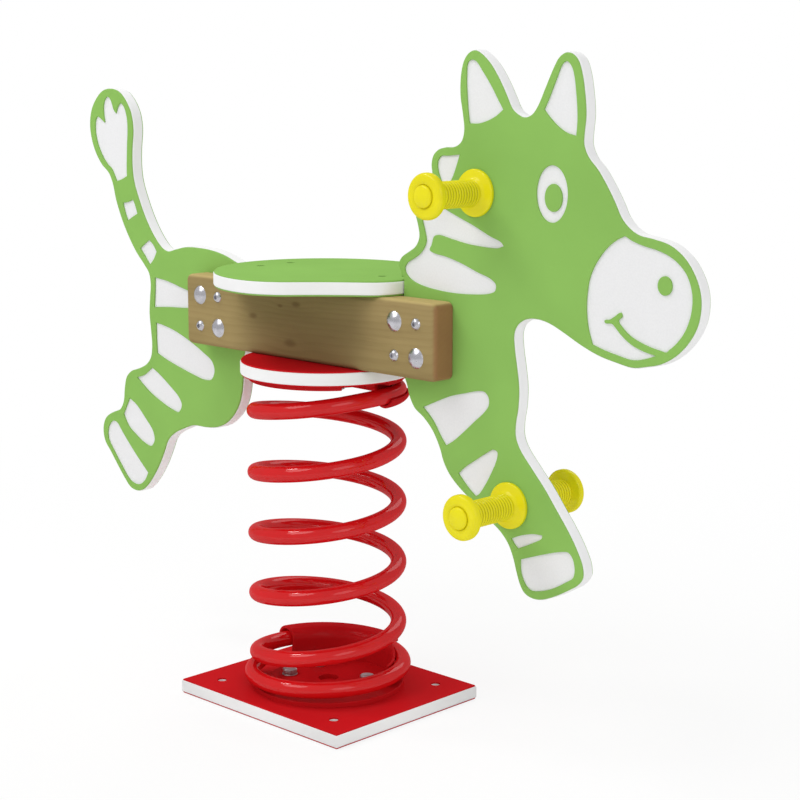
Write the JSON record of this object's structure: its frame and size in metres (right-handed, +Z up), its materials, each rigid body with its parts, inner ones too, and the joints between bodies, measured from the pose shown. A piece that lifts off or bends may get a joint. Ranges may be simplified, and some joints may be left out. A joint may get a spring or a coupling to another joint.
{
  "type": "spring rider",
  "caption": "Playground spring rider: a flat striped animal board with seat, hand grips and foot rests, held between timber beams on one upright coil spring and a base plate.",
  "frame": {"origin": "underside of the base plate, at the centre of the anchor holes and of the spring's axis", "axes": "+X along the board towards the head, +Y to the rider's left, +Z up"},
  "size_m": [1.0282, 0.272, 0.815],
  "materials": {
    "white_core": "sawn and milled polyethylene, off-white",
    "red_skin": "fine orange-peel polyethylene, red",
    "green_skin": "fine orange-peel polyethylene, light green",
    "red_clamp": "powder coated",
    "red_spring": "glossy powder coat",
    "timber": "planed and oiled, eased edges",
    "steel": "stainless, bright",
    "screw_steel": "dull zinc",
    "yellow_plastic": "moulded, satin gloss"
  },
  "bodies": {
    "base": {"base_plate_core": "white_core", "base_plate_top_skin": "red_skin", "base_plate_bottom_skin": "red_skin", "lower_spring_clamp": "red_clamp", "lower_clamp_bolts": "steel", "lower_clamp_washers": "steel", "lower_clamp_nuts": "steel"},
    "spring": {"spring": "red_spring"},
    "rider": {"upper_spring_clamp": "red_clamp", "upper_clamp_screws": "steel", "upper_clamp_washers": "steel", "top_plate_core": "white_core", "top_plate_top_skin": "red_skin", "top_plate_bottom_skin": "red_skin", "near_beam": "timber", "far_beam": "timber", "panel_core": "white_core", "panel_near_skin": "green_skin", "panel_far_skin": "green_skin", "seat_core": "white_core", "seat_top_skin": "green_skin", "seat_bottom_skin": "green_skin", "seat_screws": "screw_steel", "coach_bolts": "steel", "coach_bolt_washers": "steel", "coach_bolt_nuts": "steel", "button_screws": "steel", "sleeve_nuts": "steel", "near_hand_grip": "yellow_plastic", "far_hand_grip": "yellow_plastic", "near_foot_rest": "yellow_plastic", "far_foot_rest": "yellow_plastic", "grip_rod": "steel", "rest_rod": "steel", "rod_nuts": "steel", "grip_caps": "yellow_plastic", "rest_caps": "yellow_plastic"}
  },
  "joints": [
    {"name": "rock_fore_aft", "type": "hinge", "parent": "base", "child": "spring", "pos_m": [0, 0, 0.146], "axis": [0, 1, 0], "range_deg": [-20, 20], "stiffness_Nm_per_rad": 275, "deforming": ["spring"]},
    {"name": "rock_sideways", "type": "hinge", "parent": "spring", "child": "rider", "pos_m": [0, 0, 0.329], "axis": [1, 0, 0], "range_deg": [-15, 15], "stiffness_Nm_per_rad": 275, "deforming": ["spring"]}
  ]
}
